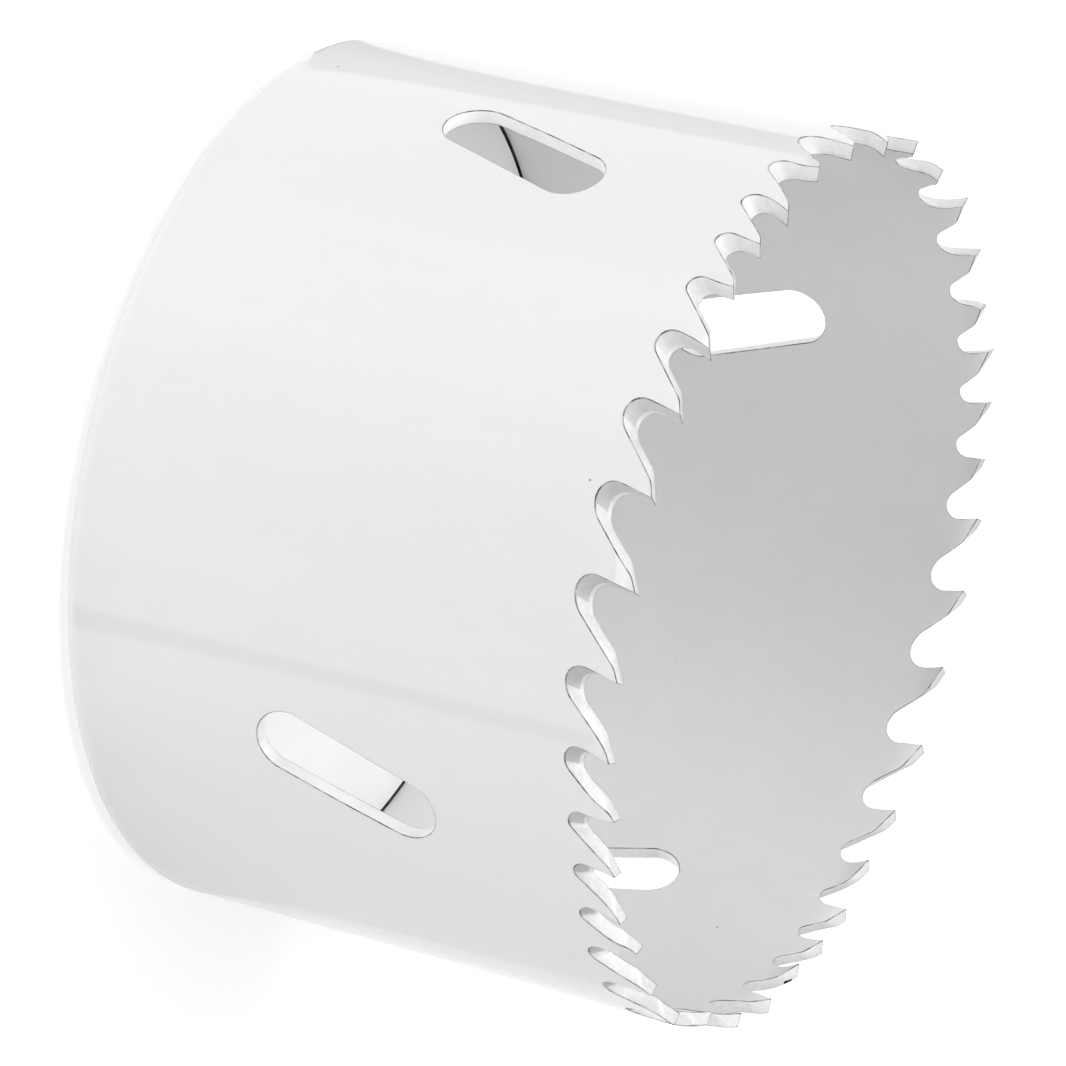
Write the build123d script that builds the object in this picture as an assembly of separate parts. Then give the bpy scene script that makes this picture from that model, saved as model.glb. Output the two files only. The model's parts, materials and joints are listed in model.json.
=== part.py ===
from build123d import *
import math
import os

os.makedirs("parts", exist_ok=True)

# A hole saw standing on its base plate, teeth up.
# The origin is the centre of the flat back face and +Z is the saw's axis.
# The weld that closes the rolled strip lies on +X. All sizes are in millimetres.

# Cup: a strip rolled into a tube and butt-welded
CUP_DIAMETER = 64.0
WALL = 1.0
TIP_HEIGHT = 42.2
BACK_EDGE_RADIUS = 2.0

# Base plate, welded into the cup's back end
PLATE_THICKNESS = 4.5
THREAD_MAJOR = 15.875
THREAD_PITCH = 25.4 / 18
THREAD_CUT_RATIO = 1.0825
THREAD_MOUTH = 0.8
PIN_HOLE_DIAMETER = 6.5
PIN_CIRCLE = 25.0
PIN_HOLES = 4

# Slots through the wall, for levering out the plug that was cut.
# They are punched before the strip is rolled, at steps that aren't quite even.
SLOT_LENGTH = 13.9
SLOT_WIDTH = 4.85
SLOT_HEIGHT = 22.3
SLOT_TILT = 19.7
SLOT_ANGLES = (34.0, 121.2, 211.6, 300.4)

# Tooth pitch, which opens and closes in groups so that the teeth don't chatter.
# It also drifts a little, once round the rim, and GROUP_START says how far into its
# first group the strip starts after the weld.
MEAN_PITCH = 5.3
PITCH_SWING = 1.0
GROUP_TEETH = 9
GROUP_START = 0.7
PITCH_DRIFT = 0.145
DRIFT_START = 57.0
FIRST_TIP = 2.5

# Tooth form, seen square to the wall
RAKE_ANGLE = 12.0
BACK_ANGLE = 44.0
LAND_ANGLE = 21.0
LAND_LENGTH = 0.85
GULLET_DEPTH = 3.55
GULLET_DEEPENING = 0.45
ROOT_RADIUS = 1.05

# Shares of the gullet's floor that the root arc may take, and that the wider arc takes
# of what is left
ROOT_SHARE = 0.8
SWEEP_SHARE = 0.98

# The gullets are milled on a slant: towards the inside they climb and run ahead
GULLET_CLIMB = 0.95
GULLET_ADVANCE = 0.55

# Tooth set: the tips are bent in, straight and out in turn
SET_OUT = 0.29
SET_IN = 0.53
SET_ORDER = (-SET_IN, 0.0, SET_OUT)
BEND_CLEARANCE = 0.25

# The bends of two neighbours meet in the gullet, this share of its advance past the
# lowest point of its outer edge
PARTING_SHARE = 0.75

# Room that cutting tools take past the faces that they cut
OVERCUT = 1.5

OUTER_RADIUS = CUP_DIAMETER / 2
INNER_RADIUS = OUTER_RADIUS - WALL


def tooth_pitches():
    """Arc lengths from each tip to the next, starting after the weld."""
    count = round(math.pi * CUP_DIAMETER / MEAN_PITCH)
    raw = []
    for k in range(count):
        swing = PITCH_SWING * math.cos(2 * math.pi * (k + GROUP_START) / GROUP_TEETH)
        drift = PITCH_DRIFT * math.cos(2 * math.pi * k / count + math.radians(DRIFT_START))
        raw.append(MEAN_PITCH + swing + drift)
    closing = math.pi * CUP_DIAMETER / sum(raw)
    return [pitch * closing for pitch in raw]


def gullet_depth(pitch):
    """The coarser the pitch, the deeper the gullet."""
    return GULLET_DEPTH + GULLET_DEEPENING * (pitch - MEAN_PITCH)


def land_length(pitch):
    return LAND_LENGTH * pitch / MEAN_PITCH


def tip_plane(angle, radius, height):
    """A plane facing outwards, with x in the cutting direction and y up."""
    c, s = math.cos(angle), math.sin(angle)
    return Plane(origin=(radius * c, radius * s, height), x_dir=(-s, c, 0), z_dir=(c, s, 0))


def gullet_outline(pitch, next_land):
    """Rake face, root arc, wider arc and back slope of one gullet, and where its floor lies.

    The outline starts from a tip at the sketch's origin and ends at the next tooth's back.
    """
    rake = math.tan(math.radians(RAKE_ANGLE))
    slope = math.tan(math.radians(BACK_ANGLE))
    drop = next_land * math.tan(math.radians(LAND_ANGLE))
    depth = gullet_depth(pitch)
    heel = pitch - next_land
    floor_start = -depth * rake
    floor_end = heel - (depth - drop) / slope
    floor = floor_end - floor_start
    root_reach = math.tan(math.radians((90 + RAKE_ANGLE) / 2))
    back_reach = math.tan(math.radians(BACK_ANGLE / 2))
    root = min(ROOT_RADIUS * pitch / MEAN_PITCH, ROOT_SHARE * floor / root_reach)
    sweep = SWEEP_SHARE * (floor - root * root_reach) / back_reach
    corners = [
        (OVERCUT * rake, OVERCUT),
        (floor_start, -depth),
        (floor_end, -depth),
        (heel + (OVERCUT + drop) / slope, OVERCUT),
    ]
    outline = make_face(FilletPolyline(*corners, radius=[0, root, sweep, 0], close=True))
    return outline, floor_start + root * root_reach


def gullet_cutter(angle, outline):
    """The gullet's prism, slanted through the wall."""
    start = SET_OUT + OVERCUT
    travel = start + WALL + SET_IN + OVERCUT
    climb = GULLET_CLIMB / WALL
    advance = GULLET_ADVANCE / WALL
    plane = tip_plane(angle, OUTER_RADIUS + start, TIP_HEIGHT)
    placed = plane * Pos(-start * advance, -start * climb) * outline
    direction = plane.x_dir * advance + Vector(0, 0, climb) - plane.z_dir
    return Solid.extrude(placed.face(), direction * travel)


def land_cutter(angle, reach):
    """Clears all that stands above a tooth's land.

    The land falls inwards by as much as leaves the tip's edge level across the wall.
    """
    slope = math.tan(math.radians(LAND_ANGLE))
    fall = slope * (GULLET_ADVANCE - GULLET_CLIMB * math.tan(math.radians(RAKE_ANGLE))) / WALL
    corners = [
        (-reach, -reach * slope),
        (OVERCUT, OVERCUT * slope),
        (OVERCUT, 2 * OVERCUT),
        (-reach, 2 * OVERCUT),
    ]
    start = SET_OUT + OVERCUT
    travel = start + WALL + SET_IN + OVERCUT
    plane = tip_plane(angle, OUTER_RADIUS + start, TIP_HEIGHT + start * fall)
    face = plane * make_face(Polyline(*corners, close=True))
    return Solid.extrude(face.face(), (plane.z_dir + Vector(0, 0, fall)) * -travel)


def tooth_blank(start, end, bend_height, lean):
    """The strip's edge above the bend line over one tooth, leaning in or out."""
    rise = TIP_HEIGHT - bend_height
    top = TIP_HEIGHT + OVERCUT
    shift = lean * (top - bend_height) / rise
    corners = [
        (INNER_RADIUS, bend_height),
        (OUTER_RADIUS, bend_height),
        (OUTER_RADIUS + shift, top),
        (INNER_RADIUS + shift, top),
    ]
    section = Plane.XZ * make_face(Polyline(*corners, close=True))
    turned = Rot(0, 0, math.degrees(start)) * section
    return revolve(turned, Axis.Z, math.degrees(end - start))


def back_envelope(height):
    """The outside of the saw's back end, with its rounded edge."""
    body = Cylinder(OUTER_RADIUS, height, align=(Align.CENTER, Align.CENTER, Align.MIN))
    rim = body.edges().filter_by(GeomType.CIRCLE).sort_by(Axis.Z)[0]
    return fillet(rim, BACK_EDGE_RADIUS)


def slot_cutter(angle):
    plane = tip_plane(math.radians(angle), OUTER_RADIUS + OVERCUT, SLOT_HEIGHT)
    slot = plane * SlotOverall(SLOT_LENGTH, SLOT_WIDTH, rotation=90 - SLOT_TILT)
    return Solid.extrude(slot.face(), plane.z_dir * -(WALL + 2 * OVERCUT))


def make_cup():
    """The toothed tube: one strip with slots, gullets and set teeth."""
    pitches = tooth_pitches()
    count = len(pitches)
    lands = [land_length(pitch) for pitch in pitches]
    outlines = [gullet_outline(pitches[i], lands[(i + 1) % count]) for i in range(count)]
    tips = [(FIRST_TIP + sum(pitches[:i])) / OUTER_RADIUS for i in range(count)]
    cutters = [gullet_cutter(tips[i], outlines[i][0]) for i in range(count)]
    slant = PARTING_SHARE * GULLET_ADVANCE
    parting = [tips[i] + (outlines[i][1] + slant) / OUTER_RADIUS for i in range(count)]
    bend_height = TIP_HEIGHT - gullet_depth(min(pitches)) + GULLET_CLIMB + BEND_CLEARANCE

    wall = back_envelope(bend_height)
    wall -= Cylinder(INNER_RADIUS, 2 * (bend_height + OVERCUT))
    wall -= [slot_cutter(angle) for angle in SLOT_ANGLES]
    wall -= cutters

    teeth = []
    for i in range(count):
        begin = parting[i - 1] - (2 * math.pi if i == 0 else 0)
        blank = tooth_blank(begin, parting[i], bend_height, SET_ORDER[i % len(SET_ORDER)])
        land = land_cutter(tips[i], (tips[i] - begin) * OUTER_RADIUS + OVERCUT)
        teeth.append(blank - [cutters[i - 1], cutters[i], land])
    return wall + teeth


def make_base_plate():
    """The thick disc that fills the tube's back end and takes the arbor."""
    plate = back_envelope(PLATE_THICKNESS + BACK_EDGE_RADIUS) & Cylinder(INNER_RADIUS, 2 * PLATE_THICKNESS)
    thread_minor = THREAD_MAJOR - THREAD_CUT_RATIO * THREAD_PITCH
    through = 2 * (PLATE_THICKNESS + OVERCUT)
    plate -= Cylinder(thread_minor / 2, through)
    mouth = Cone(
        thread_minor / 2 + THREAD_MOUTH,
        thread_minor / 2,
        THREAD_MOUTH,
        align=(Align.CENTER, Align.CENTER, Align.MIN),
    )
    plate -= mouth
    holes = PolarLocations(PIN_CIRCLE / 2, PIN_HOLES)
    plate -= [place * Cylinder(PIN_HOLE_DIAMETER / 2, through) for place in holes]
    return plate


export_step(make_cup(), "parts/saw_cup.step")
export_step(make_base_plate(), "parts/base_plate.step")
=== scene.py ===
import json
import math

import bmesh
import bpy
from mathutils import Matrix, Vector

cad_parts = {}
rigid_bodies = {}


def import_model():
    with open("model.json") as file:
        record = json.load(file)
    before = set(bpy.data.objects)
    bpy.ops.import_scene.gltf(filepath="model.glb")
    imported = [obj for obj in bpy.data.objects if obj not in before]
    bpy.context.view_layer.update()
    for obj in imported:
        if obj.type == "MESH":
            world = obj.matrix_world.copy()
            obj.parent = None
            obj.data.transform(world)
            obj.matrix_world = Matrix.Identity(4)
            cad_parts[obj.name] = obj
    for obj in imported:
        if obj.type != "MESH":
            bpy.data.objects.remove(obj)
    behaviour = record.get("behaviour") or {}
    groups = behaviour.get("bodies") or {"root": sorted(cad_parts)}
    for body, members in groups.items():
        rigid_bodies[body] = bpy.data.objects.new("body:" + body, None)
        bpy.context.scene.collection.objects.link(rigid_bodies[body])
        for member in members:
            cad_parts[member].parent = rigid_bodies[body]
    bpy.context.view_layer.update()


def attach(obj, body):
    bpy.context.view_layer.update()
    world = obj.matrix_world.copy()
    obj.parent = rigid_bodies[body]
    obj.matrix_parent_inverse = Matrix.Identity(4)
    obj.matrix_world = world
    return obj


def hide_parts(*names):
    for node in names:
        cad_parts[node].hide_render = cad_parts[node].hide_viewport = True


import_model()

# Sizes are in millimetres, and this turns them into Blender's metres
MM = 0.001

# Cup: a strip that is milled flat, rolled into a tube and welded. It is rolled in columns, and
# the plate has as many sides as the tube has columns.
CUP_RADIUS = 32.0
WALL = 1.0
TIP_HEIGHT = 42.2
BACK_RADIUS = 2.0
STRIP_LENGTH = 2 * math.pi * CUP_RADIUS
STRIP_START = -STRIP_LENGTH / 2
STRIP_COLUMNS = 240

# The back edge's arc is drawn in steps of so many degrees. It is the wall's up to one turn and
# the plate's from there to the flat back.
ARC_STEP = 10
SEAM_TURN = 60
FLAT_TURN = 90

# Tooth pitch, which opens and closes in groups and drifts once round the rim
MEAN_PITCH = 5.3
PITCH_SWING = 1.0
GROUP_TEETH = 9
GROUP_START = 0.7
PITCH_DRIFT = 0.145
DRIFT_START = 57.0
FIRST_TIP = 2.5

# Tooth form, seen square to the wall
RAKE = math.tan(math.radians(12))
BACK_SLOPE = math.tan(math.radians(44))
LAND_SLOPE = math.tan(math.radians(21))
LAND_LENGTH = 0.85
GULLET_DEPTH = 3.55
GULLET_DEEPENING = 0.45
GULLET_CLIMB = 0.95
GULLET_ADVANCE = 0.55

# The gullet's floor is shared by a round root and a wider sweep, each drawn in a few steps
ROOT_REACH = 1.30
ROOT_SHARE = 0.8
ROOT_STEPS = 6
SWEEP_SHARE = 0.98
SWEEP_STEPS = 4

# Room that the cutters take past the strip: sideways, over a gullet, over a land, ahead of a tip
# and, as a multiple of the land, behind it
CUTTER_SIDE = 0.15
GULLET_ABOVE = 0.35
LAND_ABOVE = 0.6
LAND_AHEAD = 0.8
LAND_BEHIND = 2.8

# Tooth set: every third tip is bent in and every third one out, softly from the bend line up.
# Two neighbours' bends meet in the gullet, a share of its advance past its lowest point.
SET_TEETH = 3
SET_OUT = 0.29
SET_IN = 0.53
BEND_CLEARANCE = 0.25
SOFT_BEND = 1.3
BEND_ROWS = 8
PARTING_SHARE = 0.75

# The blunt heel behind each land. It is told from other edges by its angle in degrees, by its
# depth under the tips and by the share of its length that runs through the wall.
HEEL_RADIUS = 0.22
HEEL_STEPS = 3
HEEL_ANGLES = (15, 40)
HEEL_BELOW_TIP = 1.2
HEEL_RUN = 0.6

# Enamel draws back from edges sharper than an angle in degrees, over a narrow width. The painted shade
# under the teeth stops short of their inner edges and leaves a lit band there, of the last width.
PAINTED_EDGE = 0.06
PAINTED_ANGLE = 34
LIT_INNER_BAND = 0.24

# A face looks along an axis when its normal does by more than this share. Cut faces are those
# that don't look along the wall's thickness: the teeth's above one height, the slots' above
# another. An underside is a tooth's cut face that looks ahead along the strip, up or down, or
# back by no more than a little.
FACING = 0.9
TEETH_ABOVE = 36.0
SLOTS_ABOVE = 5.0
UNDERSIDE_FACING = -0.1

# Slots for levering out the plug
SLOT_LENGTH = 13.9
SLOT_WIDTH = 4.85
SLOT_HEIGHT = 22.3
SLOT_TILT = 19.7
SLOT_ANGLES = (34.0, 121.2, 211.6, 300.4)
SLOT_OVERCUT = 0.3
SLOT_STEPS = 40

# Base plate and the joint round it, which is open a little at the top
PLATE_RADIUS = 31.0
PLATE_THICKNESS = 4.5
GAP_WIDTH = 0.3
GAP_DEPTH = 0.6
GAP_SMEAR = 0.06
PIN_HOLES = 4
PIN_HOLE_RADIUS = 3.25
PIN_CIRCLE_RADIUS = 12.5
PIN_HOLE_STEPS = 64
PIN_DRILL_LENGTH = 3 * PLATE_THICKNESS

# Arbor thread, 5/8-18, and the cones that open its two ends
THREAD_MAJOR_RADIUS = 15.875 / 2
THREAD_PITCH = 25.4 / 18
THREAD_MINOR_RADIUS = THREAD_MAJOR_RADIUS - 0.54125 * THREAD_PITCH
THREAD_FLANK = 5 / 16 * THREAD_PITCH
THREAD_CREST = THREAD_PITCH / 8
THREAD_ROOT = THREAD_PITCH / 4
TAP_TURNS = 7
TAP_TURNS_BELOW = 3
TAP_STEPS = 96
TAP_OVERCUT = 1.0
MOUTH_DEPTH = 0.8
MOUTH_CLEARANCE = 0.15
MOUTH_FLARE = 0.3

# A mesh's corners count as one place, and are merged, when they are this close
SAME_PLACE = 0.001
MERGE_REACH = 0.002
WELD_REACH = 0.012

# Faces that meet at less than this many degrees are shaded as one
SMOOTH_ANGLE = 32

# The cup's paints, in the order of its material slots
OUTSIDE, EDGES, CUTS, JOINT, UNDERSIDES, INSIDE, SLOTS = range(7)

# The plate's second paint
PLATE_JOINT = 1

# Pattern sizes in the enamel: orange peel and its height, tone clouds, fine grain, mottling, and
# dust specks, which fade out between two shares of their spacing
ORANGE_PEEL = 1.6
PEEL_HEIGHT = 0.004
TONE_CLOUDS = 9.0
FINE_GRAIN = 0.3
MOTTLING = 2.2
DUST_SPACING = 7.0
DUST_SPECK = (0.010, 0.016)
DUST_TONE = 0.45

# Pattern sizes of the breaks in the edges' paint and of the scale on bare steel
EDGE_BREAKS = 0.9
SCALE_PATCHES = 1.2

# Enamel and scale bend light alike
COAT_IOR = 1.5

# Painted shade: where it starts and ends, and the shares of whiteness that it leaves there
UNDERSIDE_SHADE_SPAN = (8.0, 24.0)
UNDERSIDE_SHADE_WHITENESS = (0.68, 0.97)
FAR_RIM = (0, -CUP_RADIUS, TIP_HEIGHT)
FAR_RIM_REACH = (2.0, 26.0)
FAR_RIM_SHADE_WHITENESS = (0.86, 1.0)

# A chip in the paint at the outer edge of one tooth's heel
CHIP_PLACE = (-29.72, -10.67, 41.90)
CHIP_REACH = 0.38
CHIP_RADIUS = 31.40

# How much the table glows as a light, for the camera and for the paint that mirrors it, and
# how much the dome over it does
TABLE_GLOW = 0.44
SEEN_GLOW = 0.5
MIRRORED_GLOW = 0.48
DOME_GLOW = 0.25

# The table's width in metres, and the step in millimetres by which it lies under the saw's back
# and the nets lie over it
TABLE_SIZE = 4
TABLE_STEP = 0.02

# Black nets on the table, seen only in the wall's gloss, which paint dark reflection lines along it:
# name, the wall angle that mirrors them, how far from the wall they start and how long they are, their
# near and far widths, and how much they dim
PAINTED_REFLECTION_NETS = (
    ("lower_painted_reflection", 108.8, 0.3, 112, (1.6, 9), 0.95),
    ("upper_painted_reflection", 17, 0.5, 102, (5, 24), 0.55),
    ("wide_painted_reflection", 133, 0.5, 110, (24, 200), 0.15),
)

# Lamps: name, place in metres, power in watts and width in metres
LAMPS = (
    ("high_softbox", (0.55, 0.10, 0.55), 1.75, 0.5),
    ("mouth_softbox", (0.0, 0.10, 0.80), 3.0, 0.5),
    ("hard_lamp", (0.30, -0.05, 0.75), 0.9, 0.2),
    ("front_softbox", (0.0, 0.80, 0.12), 1.6, 0.5),
    ("low_softbox", (-0.70, 0.20, 0.35), 0.3, 0.5),
)
LAMP_TARGET = (0, 0, 0.021)

# Camera, fitted to the photo: its place in metres, its turns in degrees, the side of the saw that
# it stands on, its lens and film in millimetres, and the nearest thing it sees in metres
CAMERA_PLACE = (0.034203, 0.310110, 0.160855)
CAMERA_TURNS = (-26.940, -62.541, -66.644)
CAMERA_SIDE = math.radians(83.7)
CAMERA_LENS = 160.93
CAMERA_FILM = 36
CAMERA_CLIP = 0.01


# Helpers for modelling

def deselect_all():
    for thing in bpy.context.view_layer.objects:
        thing.select_set(False)


def take(thing):
    """Makes one object the only selected and active one."""
    deselect_all()
    thing.select_set(True)
    bpy.context.view_layer.objects.active = thing


def edit(thing):
    """Opens one object's mesh, to be worked on by its corners."""
    take(thing)
    bpy.ops.object.mode_set(mode="EDIT")
    bpy.ops.mesh.select_mode(type="VERT")


def leave_edit():
    bpy.ops.object.mode_set(mode="OBJECT")


def pick_corners(test):
    """Selects the corners of the edited mesh whose place passes a test."""
    mesh = bmesh.from_edit_mesh(bpy.context.edit_object.data)
    for corner in mesh.verts:
        corner.select_set(False)
    for corner in mesh.verts:
        if test(corner.co):
            corner.select_set(True)
    mesh.select_flush_mode()
    bmesh.update_edit_mesh(bpy.context.edit_object.data)


def pick_edges(test):
    bpy.ops.mesh.select_mode(type="EDGE")
    mesh = bmesh.from_edit_mesh(bpy.context.edit_object.data)
    for edge in mesh.edges:
        edge.select_set(False)
    for edge in mesh.edges:
        if test(edge):
            edge.select_set(True)
    bmesh.update_edit_mesh(bpy.context.edit_object.data)


def pick_faces(test):
    bpy.ops.mesh.select_mode(type="FACE")
    mesh = bmesh.from_edit_mesh(bpy.context.edit_object.data)
    for face in mesh.faces:
        face.select_set(False)
    for face in mesh.faces:
        if test(face):
            face.select_set(True)
    bmesh.update_edit_mesh(bpy.context.edit_object.data)


def paint_faces(thing, slot, test):
    """Gives the faces of the edited mesh that pass a test one of the thing's paints."""
    pick_faces(test)
    thing.active_material_index = slot
    bpy.ops.object.material_slot_assign()
    bpy.ops.mesh.select_mode(type="VERT")


def place_corners(places):
    """Moves the corners of the edited outline, one by one, to places in millimetres."""
    mesh = bmesh.from_edit_mesh(bpy.context.edit_object.data)
    mesh.verts.ensure_lookup_table()
    for number, place in enumerate(places):
        for corner in mesh.verts:
            corner.select_set(corner.index == number)
        shift = Vector(place) * MM - mesh.verts[number].co
        bpy.ops.transform.translate(value=shift)


def soften_corner(place, reach, steps):
    """Rounds one corner of the edited outline."""
    point = Vector(place) * MM
    pick_corners(lambda at: (at - point).length < SAME_PLACE * MM)
    bpy.ops.mesh.bevel(offset=reach * MM, segments=steps, affect="VERTICES")


def cut_across(point, normal):
    """Cuts the edited mesh along a plane, keeping both sides."""
    bpy.ops.mesh.select_all(action="SELECT")
    bpy.ops.mesh.bisect(plane_co=Vector(point) * MM, plane_no=normal)


def stretch_flat(share):
    """Scales the picked corners towards or away from the axis."""
    bpy.ops.transform.resize(value=(share, share, 1), center_override=(0, 0, 0))


def turn_outwards():
    """Points all faces of the edited mesh outwards."""
    bpy.ops.mesh.select_all(action="SELECT")
    bpy.ops.mesh.normals_make_consistent(inside=False)


def apply_last_modifier(thing):
    take(thing)
    bpy.ops.object.modifier_apply(modifier=thing.modifiers[-1].name)


def settle(thing):
    """Puts an object's place into its mesh."""
    take(thing)
    bpy.ops.object.transform_apply(location=True, rotation=True, scale=True)


def join(things, name):
    """Makes several objects one, under a new name."""
    deselect_all()
    for thing in things:
        thing.select_set(True)
    bpy.context.view_layer.objects.active = things[0]
    bpy.ops.object.join()
    joined = bpy.context.object
    joined.name = name
    return joined


def cut_away(body, cutter):
    """Takes the cutter's shape out of the body and throws the cutter away."""
    take(body)
    bpy.ops.object.modifier_add(type="BOOLEAN")
    cut = body.modifiers[-1]
    cut.operation = "DIFFERENCE"
    cut.solver = "EXACT"
    cut.object = cutter
    apply_last_modifier(body)
    bpy.data.objects.remove(cutter)


def finish_surface(thing):
    """Shades smoothly, with flat faces kept flat up to their rounded edges."""
    take(thing)
    bpy.ops.object.shade_smooth_by_angle(angle=math.radians(SMOOTH_ANGLE))
    bpy.ops.object.modifier_add(type="WEIGHTED_NORMAL")
    thing.modifiers[-1].keep_sharp = True
    apply_last_modifier(thing)


# The strip's measures

def tooth_pitches():
    """Lengths along the strip from each tip to the next, starting after the weld."""
    count = round(STRIP_LENGTH / MEAN_PITCH)
    raw = []
    for k in range(count):
        swing = PITCH_SWING * math.cos(2 * math.pi * (k + GROUP_START) / GROUP_TEETH)
        drift = PITCH_DRIFT * math.cos(2 * math.pi * k / count + math.radians(DRIFT_START))
        raw.append(MEAN_PITCH + swing + drift)
    closing = STRIP_LENGTH / sum(raw)
    return [pitch * closing for pitch in raw]


def gullet_depth(pitch):
    """The coarser the pitch, the deeper the gullet."""
    return GULLET_DEPTH + GULLET_DEEPENING * (pitch - MEAN_PITCH)


def land_length(pitch):
    return LAND_LENGTH * pitch / MEAN_PITCH


def back_arc(turn):
    """How high a point of the rounded back edge lies, and how far inside the cup's radius."""
    angle = math.radians(turn)
    return BACK_RADIUS * (1 - math.sin(angle)), BACK_RADIUS * (1 - math.cos(angle))


# Milling cutters for the flat strip: x runs along it, y from its outer to its inner face

def outline_prism(places, travel, soft_corners=()):
    """A flat outline with some corners rounded, pulled out into a prism."""
    bpy.ops.mesh.primitive_circle_add(vertices=len(places), radius=MM, fill_type="NGON")
    prism = bpy.context.object
    edit(prism)
    place_corners(places)
    for place, reach, steps in soft_corners:
        soften_corner(place, reach, steps)
    bpy.ops.mesh.select_all(action="SELECT")
    bpy.ops.mesh.extrude_region_move(TRANSFORM_OT_translate={"value": Vector(travel) * MM})
    turn_outwards()
    leave_edit()
    return prism


def gullet_cutter(tip, pitch, next_land):
    """Rake face, round root and back slope of one gullet, slanted through the wall."""
    depth = gullet_depth(pitch)
    drop = next_land * LAND_SLOPE
    heel = pitch - next_land
    floor_start = -depth * RAKE
    floor_end = heel - (depth - drop) / BACK_SLOPE
    floor = floor_end - floor_start
    root = min(ROOT_REACH * pitch / MEAN_PITCH, ROOT_SHARE * floor)
    sweep = SWEEP_SHARE * (floor - root)
    x0 = tip - CUTTER_SIDE * GULLET_ADVANCE
    z0 = TIP_HEIGHT - CUTTER_SIDE * GULLET_CLIMB
    top = z0 + GULLET_ABOVE
    start = (x0 + floor_start, -CUTTER_SIDE, z0 - depth)
    end = (x0 + floor_end, -CUTTER_SIDE, z0 - depth)
    places = [
        (x0 + GULLET_ABOVE * RAKE, -CUTTER_SIDE, top),
        start,
        end,
        (x0 + heel + (GULLET_ABOVE + drop) / BACK_SLOPE, -CUTTER_SIDE, top),
    ]
    through = WALL + 2 * CUTTER_SIDE
    travel = (through * GULLET_ADVANCE, through, through * GULLET_CLIMB)
    return outline_prism(places, travel, [(start, root, ROOT_STEPS), (end, sweep, SWEEP_STEPS)])


def land_cutter(tip, land):
    """Clears what stands above one tooth's land."""
    reach = LAND_BEHIND * land
    fall = LAND_SLOPE * (GULLET_ADVANCE - GULLET_CLIMB * RAKE)
    z0 = TIP_HEIGHT + CUTTER_SIDE * fall
    places = [
        (tip - reach, -CUTTER_SIDE, z0 - reach * LAND_SLOPE),
        (tip + LAND_AHEAD, -CUTTER_SIDE, z0 + LAND_AHEAD * LAND_SLOPE),
        (tip + LAND_AHEAD, -CUTTER_SIDE, z0 + LAND_ABOVE),
        (tip - reach, -CUTTER_SIDE, z0 + LAND_ABOVE),
    ]
    through = WALL + 2 * CUTTER_SIDE
    return outline_prism(places, (0, through, -through * fall))


def slot_cutter(angle):
    """A punch with round ends, leaning by the slot's tilt."""
    half_run = (SLOT_LENGTH - SLOT_WIDTH) / 2
    bpy.ops.mesh.primitive_cylinder_add(
        vertices=SLOT_STEPS,
        radius=SLOT_WIDTH / 2 * MM,
        depth=(WALL + 2 * SLOT_OVERCUT) * MM,
        location=(0, 0, 0),
        rotation=(math.radians(90), 0, 0),
    )
    punch = bpy.context.object
    settle(punch)
    edit(punch)
    for side in (1, -1):
        pick_corners(lambda at: at.z * side > SAME_PLACE * MM)
        bpy.ops.transform.translate(value=(0, 0, side * half_run * MM))
    leave_edit()
    middle = Vector((STRIP_START + math.radians(angle) * CUP_RADIUS, WALL / 2, SLOT_HEIGHT))
    tilt = Matrix.Rotation(math.radians(SLOT_TILT), 4, "Y")
    punch.matrix_world = Matrix.Translation(middle * MM) @ tilt
    settle(punch)
    return punch


# Cup

def make_strip():
    """The flat strip with its back edge rounded, its outer face at y = 0."""
    rows = [back_arc(turn) for turn in range(ARC_STEP, SEAM_TURN + 1, ARC_STEP)]
    bottom = rows[-1][0]
    bpy.ops.mesh.primitive_cube_add(
        size=MM,
        location=(0, WALL / 2 * MM, (bottom + TIP_HEIGHT) / 2 * MM),
        scale=(STRIP_LENGTH, WALL, TIP_HEIGHT - bottom),
    )
    strip = bpy.context.object
    settle(strip)
    edit(strip)
    cut_across((0, 0, BACK_RADIUS), (0, 0, 1))
    for height, _ in rows[:-1]:
        cut_across((0, 0, height), (0, 0, 1))
    near = SAME_PLACE * MM
    for height, shift in rows:
        pick_corners(lambda at: at.y < near and abs(at.z - height * MM) < near)
        bpy.ops.transform.translate(value=(0, shift * MM, 0))
    bpy.ops.mesh.select_all(action="SELECT")
    bpy.ops.mesh.remove_doubles(threshold=MERGE_REACH * MM)
    leave_edit()
    return strip


def mill_strip(strip, pitches, lands, tips):
    """Cuts the gullets, the slots and then the lands into the flat strip."""
    count = len(pitches)
    gullets = [gullet_cutter(tips[i], pitches[i], lands[(i + 1) % count]) for i in range(count)]
    gullets.append(gullet_cutter(tips[-1] - STRIP_LENGTH, pitches[-1], lands[0]))
    slots = [slot_cutter(angle) for angle in SLOT_ANGLES]
    cut_away(strip, join(gullets + slots, "gullet_and_slot_cutters"))
    wedges = [land_cutter(tip, land) for tip, land in zip(tips, lands)]
    wedges.append(land_cutter(tips[0] + STRIP_LENGTH, lands[0]))
    cut_away(strip, join(wedges, "land_cutters"))


def open_ends():
    """Takes away the edited strip's two end faces, which the weld joins."""
    reach = STRIP_LENGTH / 2 - SAME_PLACE

    def is_end(face):
        return abs(face.normal.x) > FACING and abs(face.calc_center_median().x) > reach * MM

    pick_faces(is_end)
    bpy.ops.mesh.delete(type="FACE")


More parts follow.
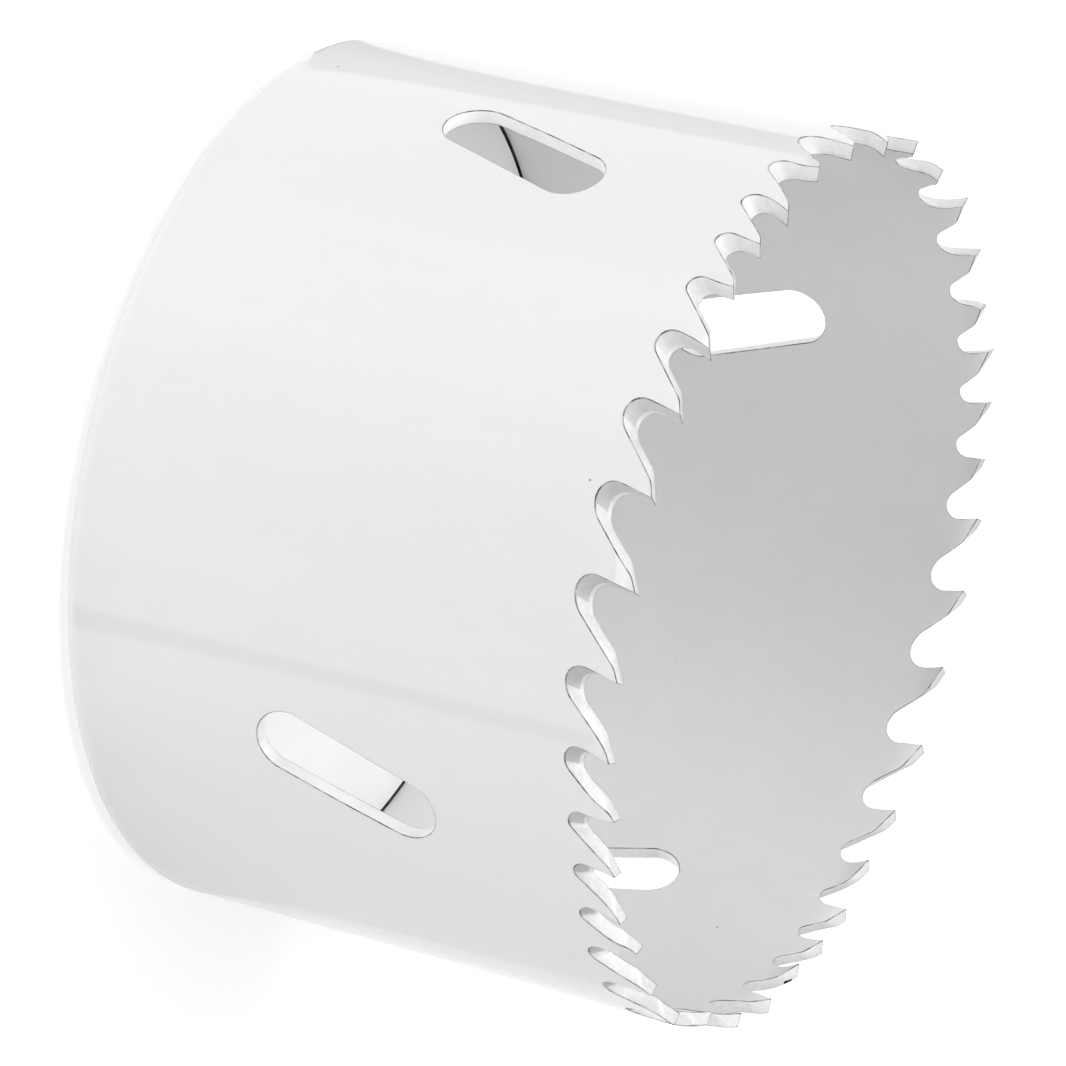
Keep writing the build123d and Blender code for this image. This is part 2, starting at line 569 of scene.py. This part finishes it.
def round_heels():
    """Rounds the blunt corner between each tooth's land and its back."""
    low, high = [math.radians(angle) for angle in HEEL_ANGLES]

    def is_heel(edge):
        run = edge.verts[0].co - edge.verts[1].co
        height = min(corner.co.z for corner in edge.verts)
        if height <= (TIP_HEIGHT - HEEL_BELOW_TIP) * MM or len(edge.link_faces) != 2:
            return False
        return abs(run.y) >= HEEL_RUN * run.length and low < edge.calc_face_angle() < high

    pick_edges(is_heel)
    bpy.ops.mesh.bevel(offset=HEEL_RADIUS * MM, segments=HEEL_STEPS, affect="EDGES")


def paint_strip(strip):
    """Paints the edited strip: slots, cuts, the teeth's undersides with painted shade up to a lit band
    along their inner edges, and inside.
    """
    shade_stop = WALL - LIT_INNER_BAND

    def is_cut(face, above):
        return abs(face.normal.y) < FACING and face.calc_center_median().z > above * MM

    def is_under(face):
        ahead = face.normal.x > UNDERSIDE_FACING
        return is_cut(face, TEETH_ABOVE) and ahead and face.calc_center_median().y < shade_stop * MM

    paint_faces(strip, SLOTS, lambda face: is_cut(face, SLOTS_ABOVE))
    paint_faces(strip, CUTS, lambda face: is_cut(face, TEETH_ABOVE))
    # The painted shade under the teeth ends here, short of the inner face, so that a lit band is left
    # along the inner edges.
    cut_across((0, shade_stop, 0), (0, 1, 0))
    # The teeth's undersides take the enamel with painted shade, which stands in for the shadow that the
    # teeth cast.
    paint_faces(strip, UNDERSIDES, is_under)
    paint_faces(strip, INSIDE, lambda face: face.normal.y > FACING)


def break_edges():
    """Breaks the edges of the edited strip's cuts, where the paint is worn thin."""
    least = math.radians(PAINTED_ANGLE)

    def is_cut_edge(edge):
        low = min(corner.co.z for corner in edge.verts)
        return low > SLOTS_ABOVE * MM and len(edge.link_faces) == 2 and edge.calc_face_angle() > least

    pick_edges(is_cut_edge)
    bpy.ops.mesh.bevel(offset=PAINTED_EDGE * MM, segments=2, affect="EDGES", material=EDGES)
    bpy.ops.mesh.select_mode(type="VERT")


def paint_joint(strip):
    """Darkens the wall's inside where it faces the plate, and a smear above it."""
    line = PLATE_THICKNESS + GAP_SMEAR
    cut_across((0, 0, line), (0, 0, 1))

    def is_joint(face):
        return face.normal.y > FACING and face.calc_center_median().z < line * MM

    paint_faces(strip, JOINT, is_joint)


def bend_share(rise, full):
    """How far a tooth is bent at a height above the bend line: softly at first, then straight."""
    if rise < SOFT_BEND:
        return rise * rise / (2 * SOFT_BEND) / (full - SOFT_BEND / 2)
    return (rise - SOFT_BEND / 2) / (full - SOFT_BEND / 2)


def set_teeth(strip, parting, bend):
    """Bends the tips in, leaves them straight and bends them out in turn."""
    full = TIP_HEIGHT - bend
    for name, first, reach in (("bent_in", 0, SET_IN), ("bent_out", 2, -SET_OUT)):
        group = strip.vertex_groups.new(name=name)
        for corner in strip.data.vertices:
            rise = corner.co.z / MM - bend
            if rise <= 0:
                continue
            tooth = sum(corner.co.x / MM > line for line in parting) % len(parting)
            if tooth % SET_TEETH == first:
                group.add([corner.index], bend_share(rise, full), "REPLACE")
        take(strip)
        bpy.ops.object.modifier_add(type="DISPLACE")
        push = strip.modifiers[-1]
        push.direction = "Y"
        push.mid_level = 0
        push.strength = reach * MM
        push.vertex_group = name
        apply_last_modifier(strip)
        strip.vertex_groups.remove(strip.vertex_groups[name])


def roll_up(strip):
    """Rolls the strip into a tube, turns its ends onto +X and welds them."""
    edit(strip)
    for column in range(1, STRIP_COLUMNS):
        cut_across((STRIP_START + STRIP_LENGTH * column / STRIP_COLUMNS, 0, 0), (1, 0, 0))
    leave_edit()
    take(strip)
    bpy.ops.object.modifier_add(type="SIMPLE_DEFORM")
    roll = strip.modifiers[-1]
    roll.deform_method = "BEND"
    roll.deform_axis = "Z"
    roll.angle = 2 * math.pi
    apply_last_modifier(strip)
    turn = Matrix.Rotation(math.radians(-90), 4, "Z")
    strip.matrix_world = turn @ Matrix.Translation((0, -CUP_RADIUS * MM, 0))
    settle(strip)
    edit(strip)
    pick_corners(lambda at: at.x > 0 and abs(at.y) < MERGE_REACH * MM)
    bpy.ops.mesh.remove_doubles(threshold=WELD_REACH * MM)
    leave_edit()


def make_cup(paints):
    """The toothed tube, milled, painted and set as a flat strip and then rolled up."""
    pitches = tooth_pitches()
    lands = [land_length(pitch) for pitch in pitches]
    tips = [STRIP_START + FIRST_TIP + sum(pitches[:i]) for i in range(len(pitches))]
    strip = make_strip()
    mill_strip(strip, pitches, lands, tips)
    for paint in paints:
        strip.data.materials.append(paint)

    edit(strip)
    open_ends()
    round_heels()
    paint_strip(strip)
    break_edges()
    paint_joint(strip)
    bend = TIP_HEIGHT - gullet_depth(min(pitches)) + GULLET_CLIMB + BEND_CLEARANCE
    for row in range(BEND_ROWS + 1):
        cut_across((0, 0, bend + SOFT_BEND * row / BEND_ROWS), (0, 0, 1))
    leave_edit()

    parting = []
    for tip, pitch in zip(tips, pitches):
        root = ROOT_REACH * pitch / MEAN_PITCH
        parting.append(tip - gullet_depth(pitch) * RAKE + root + PARTING_SHARE * GULLET_ADVANCE)
    set_teeth(strip, parting, bend)
    roll_up(strip)
    strip.name = "cup_body"
    finish_surface(strip)
    return strip


# Base plate

def make_tap():
    """A screw with the arbor's thread, whose shape is taken out of the plate."""
    chain = [
        (THREAD_MINOR_RADIUS, 0, 0),
        (THREAD_MINOR_RADIUS, 0, THREAD_ROOT),
        (THREAD_MAJOR_RADIUS, 0, THREAD_ROOT + THREAD_FLANK),
        (THREAD_MAJOR_RADIUS, 0, THREAD_ROOT + THREAD_FLANK + THREAD_CREST),
        (THREAD_MINOR_RADIUS, 0, THREAD_PITCH),
    ]
    bpy.ops.mesh.primitive_circle_add(vertices=len(chain), radius=MM, fill_type="NOTHING")
    tap = bpy.context.object
    edit(tap)
    place_corners(chain)
    closing = (THREAD_PITCH - SAME_PLACE) * MM
    pick_edges(lambda edge: abs(edge.verts[0].co.z - edge.verts[1].co.z) > closing)
    bpy.ops.mesh.delete(type="EDGE")
    leave_edit()
    take(tap)
    bpy.ops.object.modifier_add(type="SCREW")
    turns = tap.modifiers[-1]
    turns.axis = "Z"
    turns.screw_offset = THREAD_PITCH * MM
    turns.iterations = TAP_TURNS
    turns.steps = TAP_STEPS
    turns.render_steps = TAP_STEPS
    turns.use_merge_vertices = True
    turns.merge_threshold = SAME_PLACE * MM
    apply_last_modifier(tap)
    tap.location.z = -TAP_TURNS_BELOW * THREAD_PITCH * MM
    settle(tap)
    edit(tap)
    bpy.ops.mesh.select_all(action="SELECT")
    bpy.ops.mesh.remove_doubles(threshold=MERGE_REACH * MM)
    for height, past in ((-TAP_OVERCUT, "clear_inner"), (PLATE_THICKNESS + TAP_OVERCUT, "clear_outer")):
        bpy.ops.mesh.select_all(action="SELECT")
        level = (0, 0, height * MM)
        bpy.ops.mesh.bisect(plane_co=level, plane_no=(0, 0, 1), use_fill=True, **{past: True})
    turn_outwards()
    leave_edit()
    return tap


def make_disc(paints):
    """The plate's disc, rounded at the back and drawn in at the top, where the joint is open."""
    bpy.ops.mesh.primitive_cylinder_add(
        vertices=STRIP_COLUMNS,
        radius=PLATE_RADIUS * MM,
        depth=PLATE_THICKNESS * MM,
        location=(0, 0, PLATE_THICKNESS / 2 * MM),
    )
    disc = bpy.context.object
    for paint in paints:
        disc.data.materials.append(paint)
    settle(disc)
    edit(disc)
    rings = [back_arc(turn) for turn in range(SEAM_TURN, FLAT_TURN + 1, ARC_STEP)]
    for height, _ in rings[:-1]:
        cut_across((0, 0, height), (0, 0, 1))
    for height, shift in rings[1:]:
        pick_corners(lambda at: abs(at.z - height * MM) < SAME_PLACE * MM)
        stretch_flat((CUP_RADIUS - shift) / PLATE_RADIUS)
    gap_floor = PLATE_THICKNESS - GAP_DEPTH
    cut_across((0, 0, gap_floor), (0, 0, 1))
    pick_corners(lambda at: at.z > (PLATE_THICKNESS - SAME_PLACE) * MM)
    stretch_flat(1 - GAP_WIDTH / PLATE_RADIUS)

    def is_joint(face):
        return face.normal.z < FACING and face.calc_center_median().z > gap_floor * MM

    paint_faces(disc, PLATE_JOINT, is_joint)
    leave_edit()
    return disc


def cut_thread_mouths(plate):
    """Opens both ends of the tapped hole with a cone, so that the arbor finds its way in."""
    middle = THREAD_MAJOR_RADIUS + MOUTH_CLEARANCE
    for side, height in ((1, 0), (-1, PLATE_THICKNESS)):
        bpy.ops.mesh.primitive_cone_add(
            vertices=TAP_STEPS,
            radius1=(middle + side * MOUTH_FLARE) * MM,
            radius2=(middle - side * MOUTH_FLARE) * MM,
            depth=2 * MOUTH_DEPTH * MM,
            location=(0, 0, height * MM),
        )
        mouth = bpy.context.object
        settle(mouth)
        cut_away(plate, mouth)


def drill_pin_holes(plate):
    for hole in range(PIN_HOLES):
        turn = 2 * math.pi * hole / PIN_HOLES
        reach = PIN_CIRCLE_RADIUS * MM
        bpy.ops.mesh.primitive_cylinder_add(
            vertices=PIN_HOLE_STEPS,
            radius=PIN_HOLE_RADIUS * MM,
            depth=PIN_DRILL_LENGTH * MM,
            location=(reach * math.cos(turn), reach * math.sin(turn), 0),
        )
        drill = bpy.context.object
        settle(drill)
        cut_away(plate, drill)


def make_base_plate(paints):
    """The thick disc in the tube's back end, tapped for the arbor and drilled for its pins."""
    plate = make_disc(paints)
    cut_away(plate, make_tap())
    cut_thread_mouths(plate)
    drill_pin_holes(plate)
    plate.name = "plate_body"
    finish_surface(plate)
    return plate


# Materials

def colour(code):
    """A hex colour as the linear values that shaders take."""
    values = [int(code[i:i + 2], 16) / 255 for i in (1, 3, 5)]
    return [v / 12.92 if v <= 0.04045 else ((v + 0.055) / 1.055) ** 2.4 for v in values] + [1.0]


def add_node(tree, kind, settings=None, **links):
    """Adds a node; settings are its properties or sockets, and links feed its sockets."""
    node = tree.nodes.new(kind)
    for name, value in (settings or {}).items():
        if isinstance(name, int) or name in node.inputs:
            node.inputs[name].default_value = value
        else:
            setattr(node, name, value)
    for name, source in links.items():
        socket = node.inputs[int(name[1:])] if name[1:].isdigit() else node.inputs[name.replace("_", " ")]
        tree.links.new(source, socket)
    return node


def new_material(name):
    material = bpy.data.materials.new(name)
    material.use_nodes = True
    material.node_tree.nodes.clear()
    return material, material.node_tree


def grade(ramp, stops):
    """Gives a colour ramp its two stops, each a place on the ramp and a hex colour."""
    for stop, (place, code) in zip(ramp.color_ramp.elements, stops):
        stop.position = place
        stop.color = colour(code)


def add_chip(tree, place, tone):
    """Darkens the small chip where a tooth's paint has broken away down to blackened steel."""
    middle = [x * MM for x in CHIP_PLACE]
    away = add_node(tree, "ShaderNodeVectorMath", {"operation": "DISTANCE", 1: middle}, _0=place)
    flat = add_node(tree, "ShaderNodeVectorMath", {"operation": "MULTIPLY", 1: (1, 1, 0)}, _0=place)
    radius = add_node(tree, "ShaderNodeVectorMath", {"operation": "LENGTH"}, _0=flat.outputs["Vector"])
    near = add_node(
        tree,
        "ShaderNodeMath",
        {"operation": "LESS_THAN", 1: CHIP_REACH * MM},
        _0=away.outputs["Value"],
    )
    outer = add_node(
        tree,
        "ShaderNodeMath",
        {"operation": "GREATER_THAN", 1: CHIP_RADIUS * MM},
        _0=radius.outputs["Value"],
    )
    chip = add_node(
        tree,
        "ShaderNodeMath",
        {"operation": "MULTIPLY"},
        _0=near.outputs[0],
        _1=outer.outputs[0],
    )
    return add_node(
        tree,
        "ShaderNodeMix",
        {"data_type": "RGBA", 7: colour("#0C0C0C")},
        _0=chip.outputs[0],
        _6=tone,
    ).outputs[2]


def painted_steel(name, tones, roughness, mottling, reflection_streak=1.0, painted_shading=None):
    """White enamel sprayed on steel: bright, faintly mottled, with a soft orange-peel ripple.

    A streak below 1 draws its clouds out along the axis, into painted reflection streaks. The shading
    function gives the share of whiteness that is left where shade is painted.
    """
    material, tree = new_material(name)
    place = add_node(tree, "ShaderNodeTexCoord").outputs["Object"]
    ripple = add_node(
        tree, "ShaderNodeTexNoise", {"Scale": 1 / (ORANGE_PEEL * MM), "Detail": 2.0}, Vector=place
    )
    # Drawing the clouds out along the axis paints faint reflection streaks.
    drawn = add_node(tree, "ShaderNodeVectorMath", {"operation": "MULTIPLY", 1: (1, 1, reflection_streak)}, _0=place)
    cloud = add_node(
        tree,
        "ShaderNodeTexNoise",
        {"Scale": 1 / (TONE_CLOUDS * MM), "Detail": 3.0},
        Vector=drawn.outputs["Vector"],
    )
    tone = add_node(tree, "ShaderNodeValToRGB", Fac=cloud.outputs["Fac"])
    grade(tone, zip((0.3, 0.7), tones))
    grain = add_node(
        tree, "ShaderNodeTexNoise", {"Scale": 1 / (FINE_GRAIN * MM), "Detail": 2.0}, Vector=place
    )
    mottle = add_node(
        tree, "ShaderNodeTexNoise", {"Scale": 1 / (MOTTLING * MM), "Detail": 4.0}, Vector=place
    )
    both = add_node(
        tree,
        "ShaderNodeMath",
        {"operation": "ADD"},
        _0=grain.outputs["Fac"],
        _1=mottle.outputs["Fac"],
    )
    shade = add_node(
        tree,
        "ShaderNodeMapRange",
        {"From Min": 0.7, "From Max": 1.3, "To Min": 1 - mottling, "To Max": 1 + mottling},
        Value=both.outputs[0],
    )
    nibs = add_node(
        tree,
        "ShaderNodeTexVoronoi",
        {"Scale": 1 / (DUST_SPACING * MM), "Randomness": 1.0},
        Vector=place,
    )
    dust = add_node(
        tree,
        "ShaderNodeMapRange",
        {"From Min": DUST_SPECK[0], "From Max": DUST_SPECK[1], "To Min": DUST_TONE, "To Max": 1.0},
        Value=nibs.outputs["Distance"],
    )
    share = add_node(
        tree,
        "ShaderNodeMath",
        {"operation": "MULTIPLY"},
        _0=shade.outputs[0],
        _1=dust.outputs[0],
    )
    # Painted shade: the tone is darkened by the share that the shading function gives.
    if painted_shading:
        share = add_node(
            tree,
            "ShaderNodeMath",
            {"operation": "MULTIPLY"},
            _0=share.outputs[0],
            _1=painted_shading(tree, place),
        )
    surface = add_node(
        tree,
        "ShaderNodeVectorMath",
        {"operation": "SCALE"},
        _0=tone.outputs["Color"],
        Scale=share.outputs[0],
    )
    bump = add_node(
        tree,
        "ShaderNodeBump",
        {"Strength": 0.25, "Distance": PEEL_HEIGHT * MM},
        Height=ripple.outputs["Fac"],
    )
    paint = add_node(
        tree,
        "ShaderNodeBsdfPrincipled",
        {"Roughness": roughness, "IOR": COAT_IOR},
        Base_Color=add_chip(tree, place, surface.outputs["Vector"]),
        Normal=bump.outputs["Normal"],
    )
    add_node(tree, "ShaderNodeOutputMaterial", Surface=paint.outputs["BSDF"])
    return material


def painted_shade_towards_minus_x(tree, place):
    """Painted shade under the teeth, darker towards -X, away from the light that comes from +X."""
    parts = add_node(tree, "ShaderNodeSeparateXYZ", None, Vector=place)
    return add_node(
        tree,
        "ShaderNodeMapRange",
        {
            "From Min": UNDERSIDE_SHADE_SPAN[0] * MM,
            "From Max": UNDERSIDE_SHADE_SPAN[1] * MM,
            "To Min": UNDERSIDE_SHADE_WHITENESS[0],
            "To Max": UNDERSIDE_SHADE_WHITENESS[1],
        },
        Value=parts.outputs["X"],
    ).outputs[0]


def painted_shade_at_far_rim(tree, place):
    """Painted shade that darkens the inside round the rim's point on -Y."""
    rim = [x * MM for x in FAR_RIM]
    away = add_node(tree, "ShaderNodeVectorMath", {"operation": "DISTANCE", 1: rim}, _0=place)
    return add_node(
        tree,
        "ShaderNodeMapRange",
        {
            "From Min": FAR_RIM_REACH[0] * MM,
            "From Max": FAR_RIM_REACH[1] * MM,
            "To Min": FAR_RIM_SHADE_WHITENESS[0],
            "To Max": FAR_RIM_SHADE_WHITENESS[1],
        },
        Value=away.outputs["Value"],
    ).outputs[0]


def outside_enamel():
    """Gloss enamel on rolled steel: smooth, mirrors the table along the wall, and has its tone clouds
    drawn out along the axis into faint painted reflection streaks.
    """
    name = "white_gloss_enamel_on_rolled_steel"
    return painted_steel(name, ("#E8E8E8", "#EDEDED"), roughness=0.08, mottling=0.006, reflection_streak=0.12)


def cut_enamel():
    """Enamel that lies thick on milled faces: patchy, with a broken shine."""
    name = "thick_white_enamel_on_cut_faces"
    return painted_steel(name, ("#E4E4E4", "#EEEEEE"), roughness=0.25, mottling=0.09)


def underside_enamel_with_painted_shade():
    """Enamel under the teeth, with painted shade: greyer than the cut faces, and darker towards -X."""
    return painted_steel(
        "enamel_with_painted_shade_under_the_teeth",
        ("#EAEAEA", "#F2F2F2"),
        roughness=0.35,
        mottling=0.05,
        painted_shading=painted_shade_towards_minus_x,
    )


def inside_enamel():
    """A satin coat inside the tube, with no mirror image, and painted shade that darkens it round the far
    rim.
    """
    return painted_steel(
        "satin_enamel_inside_with_painted_shade",
        ("#F1F1F1", "#F3F3F3"),
        roughness=0.3,
        mottling=0.012,
        painted_shading=painted_shade_at_far_rim,
    )


def slot_enamel_with_painted_light():
    """Enamel on the slots' sheared faces: dull, and painted whiter than the wall as painted light that
    lifts these faces.
    """
    name = "enamel_with_painted_light_on_slot_faces"
    return painted_steel(name, ("#FAFAFA", "#FFFFFF"), roughness=0.4, mottling=0.05)


def edge_enamel():
    """Enamel that has drawn back from the sharp cut edges, so that grey steel shades through."""
    material, tree = new_material("thin_enamel_on_cut_edges")
    place = add_node(tree, "ShaderNodeTexCoord").outputs["Object"]
    breaks = add_node(
        tree, "ShaderNodeTexNoise", {"Scale": 1 / (EDGE_BREAKS * MM), "Detail": 3.0}, Vector=place
    )
    tone = add_node(tree, "ShaderNodeValToRGB", Fac=breaks.outputs["Fac"])
    grade(tone, ((0.40, "#4E4E4E"), (0.62, "#B8B8B8")))
    paint = add_node(
        tree,
        "ShaderNodeBsdfPrincipled",
        {"Roughness": 0.4, "IOR": COAT_IOR},
        Base_Color=add_chip(tree, place, tone.outputs["Color"]),
    )
    add_node(tree, "ShaderNodeOutputMaterial", Surface=paint.outputs["BSDF"])
    return material


def bare_joint():
    """The narrow joint between wall and plate, where the spray didn't reach: dark scaled steel."""
    material, tree = new_material("dark_steel_in_the_joint")
    place = add_node(tree, "ShaderNodeTexCoord").outputs["Object"]
    patches = add_node(
        tree, "ShaderNodeTexNoise", {"Scale": 1 / (SCALE_PATCHES * MM), "Detail": 3.0}, Vector=place
    )
    tone = add_node(tree, "ShaderNodeValToRGB", Fac=patches.outputs["Fac"])
    grade(tone, ((0.35, "#2E2E2E"), (0.7, "#5E5E5E")))
    steel = add_node(
        tree,
        "ShaderNodeBsdfPrincipled",
        {"Roughness": 0.7, "IOR": COAT_IOR},
        Base_Color=tone.outputs["Color"],
    )
    add_node(tree, "ShaderNodeOutputMaterial", Surface=steel.outputs["BSDF"])
    return material


def white_table():
    """Opal table, faintly lit from below, that shows as white paper and keeps the saw's shadow."""
    material, tree = new_material("matt_white_table")
    surface = add_node(tree, "ShaderNodeBsdfDiffuse", {"Color": colour("#D6D6D6")})
    rays = add_node(tree, "ShaderNodeLightPath")
    seen = add_node(
        tree,
        "ShaderNodeMath",
        {"operation": "MAXIMUM"},
        _0=rays.outputs["Is Camera Ray"],
        _1=rays.outputs["Is Transmission Ray"],
    )
    mirrored = add_node(
        tree,
        "ShaderNodeMath",
        {"operation": "MULTIPLY", 1: MIRRORED_GLOW - TABLE_GLOW},
        _0=rays.outputs["Is Glossy Ray"],
    )
    both = add_node(
        tree,
        "ShaderNodeMath",
        {"operation": "MULTIPLY_ADD", 1: SEEN_GLOW - TABLE_GLOW},
        _0=seen.outputs[0],
        _2=mirrored.outputs[0],
    )
    lift = add_node(tree, "ShaderNodeMath", {"operation": "ADD", 1: TABLE_GLOW}, _0=both.outputs[0])
    glow = add_node(tree, "ShaderNodeEmission", {"Color": colour("#FFFFFF")}, Strength=lift.outputs[0])
    table = add_node(tree, "ShaderNodeAddShader", None, _0=surface.outputs[0], _1=glow.outputs[0])
    add_node(tree, "ShaderNodeOutputMaterial", Surface=table.outputs[0])
    return material


def dark_reflection_material(name, density):
    """Black thread with holes, a painted dark reflection: it dims what the wall mirrors behind it."""
    material, tree = new_material(name)
    thread = add_node(tree, "ShaderNodeBsdfDiffuse", {"Color": colour("#080808")})
    holes = add_node(tree, "ShaderNodeBsdfTransparent")
    net = add_node(tree, "ShaderNodeMixShader", {0: density}, _1=holes.outputs[0], _2=thread.outputs[0])
    add_node(tree, "ShaderNodeOutputMaterial", Surface=net.outputs[0])
    return material


# Stage

def make_floor():
    bpy.ops.mesh.primitive_plane_add(size=TABLE_SIZE, location=(0, 0, -TABLE_STEP * MM))
    floor = bpy.context.object
    floor.name = "floor"
    settle(floor)
    floor.data.materials.append(white_table())


def lay_painted_reflection_net(name, angle, start, reach, widths, density):
    """A black net on the table, seen only as a dark line that the glossy wall mirrors: a painted
    reflection, as nothing else sees it.

    It runs away from the wall where a wall point at this angle mirrors the table.
    """
    bpy.ops.mesh.primitive_plane_add(size=1, location=(0, 0, 0))
    net = bpy.context.object
    net.name = name
    net.scale = (reach * MM, MM, 1)
    settle(net)
    edit(net)
    for side, width in zip((-1, 1), widths):
        pick_corners(lambda at: at.x * side > 0)
        bpy.ops.transform.resize(
            value=(1, width, 1),
            center_override=(0, 0, 0),
            constraint_axis=(False, True, False),
        )
    leave_edit()
    turn = math.radians(angle)
    heading = 2 * turn - CAMERA_SIDE
    foot = Vector((math.cos(turn), math.sin(turn), 0)) * CUP_RADIUS
    along = Vector((math.cos(heading), math.sin(heading), 0))
    net.rotation_euler.z = heading
    net.location = (foot + along * (start + reach / 2)) * MM + Vector((0, 0, TABLE_STEP * MM))
    settle(net)
    net.data.materials.append(dark_reflection_material(name + "_net", density))
    # The camera, diffuse light and shadows don't see the net, so it only paints a dark reflection.
    net.visible_camera = False
    net.visible_diffuse = False
    net.visible_shadow = False


def make_camera():
    lens = bpy.data.cameras.new("camera")
    lens.lens = CAMERA_LENS
    lens.sensor_width = CAMERA_FILM
    lens.clip_start = CAMERA_CLIP
    camera = bpy.data.objects.new("camera", lens)
    camera.location = CAMERA_PLACE
    camera.rotation_euler = [math.radians(turn) for turn in CAMERA_TURNS]
    bpy.context.scene.collection.objects.link(camera)
    bpy.context.scene.camera = camera


def make_lamp(name, place, power, width):
    """A square softbox that points at the saw and isn't seen itself."""
    box = bpy.data.lights.new(name, "AREA")
    box.shape = "SQUARE"
    box.size = width
    box.energy = power
    lamp = bpy.data.objects.new(name, box)
    lamp.location = place
    aim = Vector(LAMP_TARGET) - Vector(place)
    lamp.rotation_euler = aim.to_track_quat("-Z", "Y").to_euler()
    lamp.visible_camera = False
    bpy.context.scene.collection.objects.link(lamp)


def make_world():
    """White paper behind the saw for the camera, and a weak white dome for everything else."""
    world = bpy.data.worlds.new("studio")
    bpy.context.scene.world = world
    world.use_nodes = True
    tree = world.node_tree
    tree.nodes.clear()
    rays = add_node(tree, "ShaderNodeLightPath")
    white = colour("#FFFFFF")
    dome = add_node(tree, "ShaderNodeBackground", {"Color": white, "Strength": DOME_GLOW})
    paper = add_node(tree, "ShaderNodeBackground", {"Color": white, "Strength": 1.0})
    mix = add_node(
        tree,
        "ShaderNodeMixShader",
        None,
        _0=rays.outputs["Is Camera Ray"],
        _1=dome.outputs[0],
        _2=paper.outputs[0],
    )
    add_node(tree, "ShaderNodeOutputWorld", Surface=mix.outputs[0])


deselect_all()
outside = outside_enamel()
cuts = cut_enamel()
undersides = underside_enamel_with_painted_shade()
inside = inside_enamel()
slots = slot_enamel_with_painted_light()
edges = edge_enamel()
joint = bare_joint()
cup = make_cup((outside, edges, cuts, joint, undersides, inside, slots))
plate = make_base_plate((outside, joint))
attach(cup, "root")
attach(plate, "root")
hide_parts("saw_cup")
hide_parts("base_plate")

make_floor()
for net in PAINTED_REFLECTION_NETS:
    lay_painted_reflection_net(*net)
make_camera()
make_world()
for lamp in LAMPS:
    make_lamp(*lamp)
bpy.context.scene.view_settings.view_transform = "Standard"
